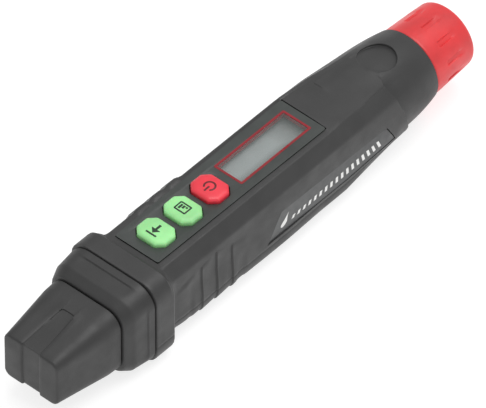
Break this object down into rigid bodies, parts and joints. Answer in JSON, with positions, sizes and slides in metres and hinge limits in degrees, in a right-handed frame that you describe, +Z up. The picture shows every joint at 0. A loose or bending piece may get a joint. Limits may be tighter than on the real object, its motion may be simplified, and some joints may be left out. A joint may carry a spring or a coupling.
{
  "type": "pen-type moisture meter",
  "caption": "Pen-type pin moisture meter with pull-off nose cap over the probe pins, display, press buttons and a screw-on battery cap at the tail.",
  "frame": {"origin": "below the middle of the pen's length, on its centre plane, at the height of its lowest point (the underside of the head)", "axes": "+X along the pen from the nose to the tail cap, +Z up through the display and buttons, +Y away from the side label"},
  "size_m": [0.19, 0.0346, 0.0335],
  "materials": {
    "nose_black": "fine-textured moulded ABS, satin black",
    "housing_black": "fine-textured moulded ABS, satin black",
    "base_black": "glass-filled nylon, dark",
    "pin_steel": "polished hard steel",
    "brass": "machined",
    "nickel": "nickel plated",
    "screw_steel": "zinc plated",
    "label_grey": "smooth satin film",
    "panel_grey": "smooth satin panel",
    "trim_red": "painted red line",
    "window_clear": "clear acrylic",
    "lcd_glass": "grey-green display glass",
    "white_plastic": "white moulding",
    "contact_rubber": "zebra strip",
    "button_green": "soft satin, green",
    "button_red": "soft satin, red",
    "switch_black": "moulded",
    "board_green": "solder mask on glass fibre",
    "chip_black": "epoxy",
    "wire_insulation": "PVC",
    "cell_wrap": "printed film over the cell's can",
    "seal_rubber": "nitrile",
    "cap_red": "soft satin, red"
  },
  "bodies": {
    "housing": {"front_collar": "nose_black", "pin_base": "base_black", "probe_pin_left": "pin_steel", "probe_pin_right": "pin_steel", "pin_nuts": "brass", "pin_socket_left": "brass", "pin_socket_right": "brass", "probe_wires": "wire_insulation", "top_shell": "housing_black", "bottom_shell": "housing_black", "housing_screws": "screw_steel", "side_label": "label_grey", "face_panel": "panel_grey", "lcd_frame": "trim_red", "lcd_window": "window_clear", "lcd_module": "lcd_glass", "lcd_carrier": "white_plastic", "lcd_contact_strips": "contact_rubber", "backlight": "white_plastic", "max_switch": "switch_black", "mode_switch": "switch_black", "power_switch": "switch_black", "main_board": "board_green", "board_screws": "screw_steel", "controller_chip": "chip_black", "buzzer": "chip_black", "battery_cradle": "base_black", "battery_left": "cell_wrap", "battery_right": "cell_wrap", "positive_contact": "nickel", "negative_spring": "nickel", "battery_wires": "wire_insulation", "thread_ring": "base_black"},
    "pin_cap": {"pin_cap": "nose_black"},
    "max_button": {"max_button": "button_green"},
    "mode_button": {"mode_button": "button_green"},
    "power_button": {"power_button": "button_red"},
    "contact_plate": {"cap_contact_plate": "nickel"},
    "tail_cap": {"tail_cap": "cap_red", "plate_rivet": "screw_steel", "cap_seal": "seal_rubber"}
  },
  "joints": [
    {"name": "pin_cap_pull", "type": "slide", "parent": "housing", "child": "pin_cap", "axis": [-1, 0, 0], "range_m": [0, 0.03]},
    {"name": "max_press", "type": "slide", "parent": "housing", "child": "max_button", "axis": [0, 0, -1], "range_m": [0, 0.0007], "stiffness_N_per_m": 900, "springref_m": -0.0001},
    {"name": "mode_press", "type": "slide", "parent": "housing", "child": "mode_button", "axis": [0, 0, -1], "range_m": [0, 0.0007], "stiffness_N_per_m": 900, "springref_m": -0.0001},
    {"name": "power_press", "type": "slide", "parent": "housing", "child": "power_button", "axis": [0, 0, -1], "range_m": [0, 0.0007], "stiffness_N_per_m": 900, "springref_m": -0.0001},
    {"name": "cap_lift", "type": "slide", "parent": "housing", "child": "contact_plate", "axis": [1, 0, 0], "range_m": [0, 0.0081]},
    {"name": "cap_turn", "type": "hinge", "parent": "contact_plate", "child": "tail_cap", "pos_m": [0.076, 0, 0.0168], "axis": [1, 0, 0], "range_deg": [0, 1440]}
  ],
  "couplings": [
    {"joint": "cap_lift", "follows": "cap_turn", "m_per_rad": 0.00031831}
  ]
}
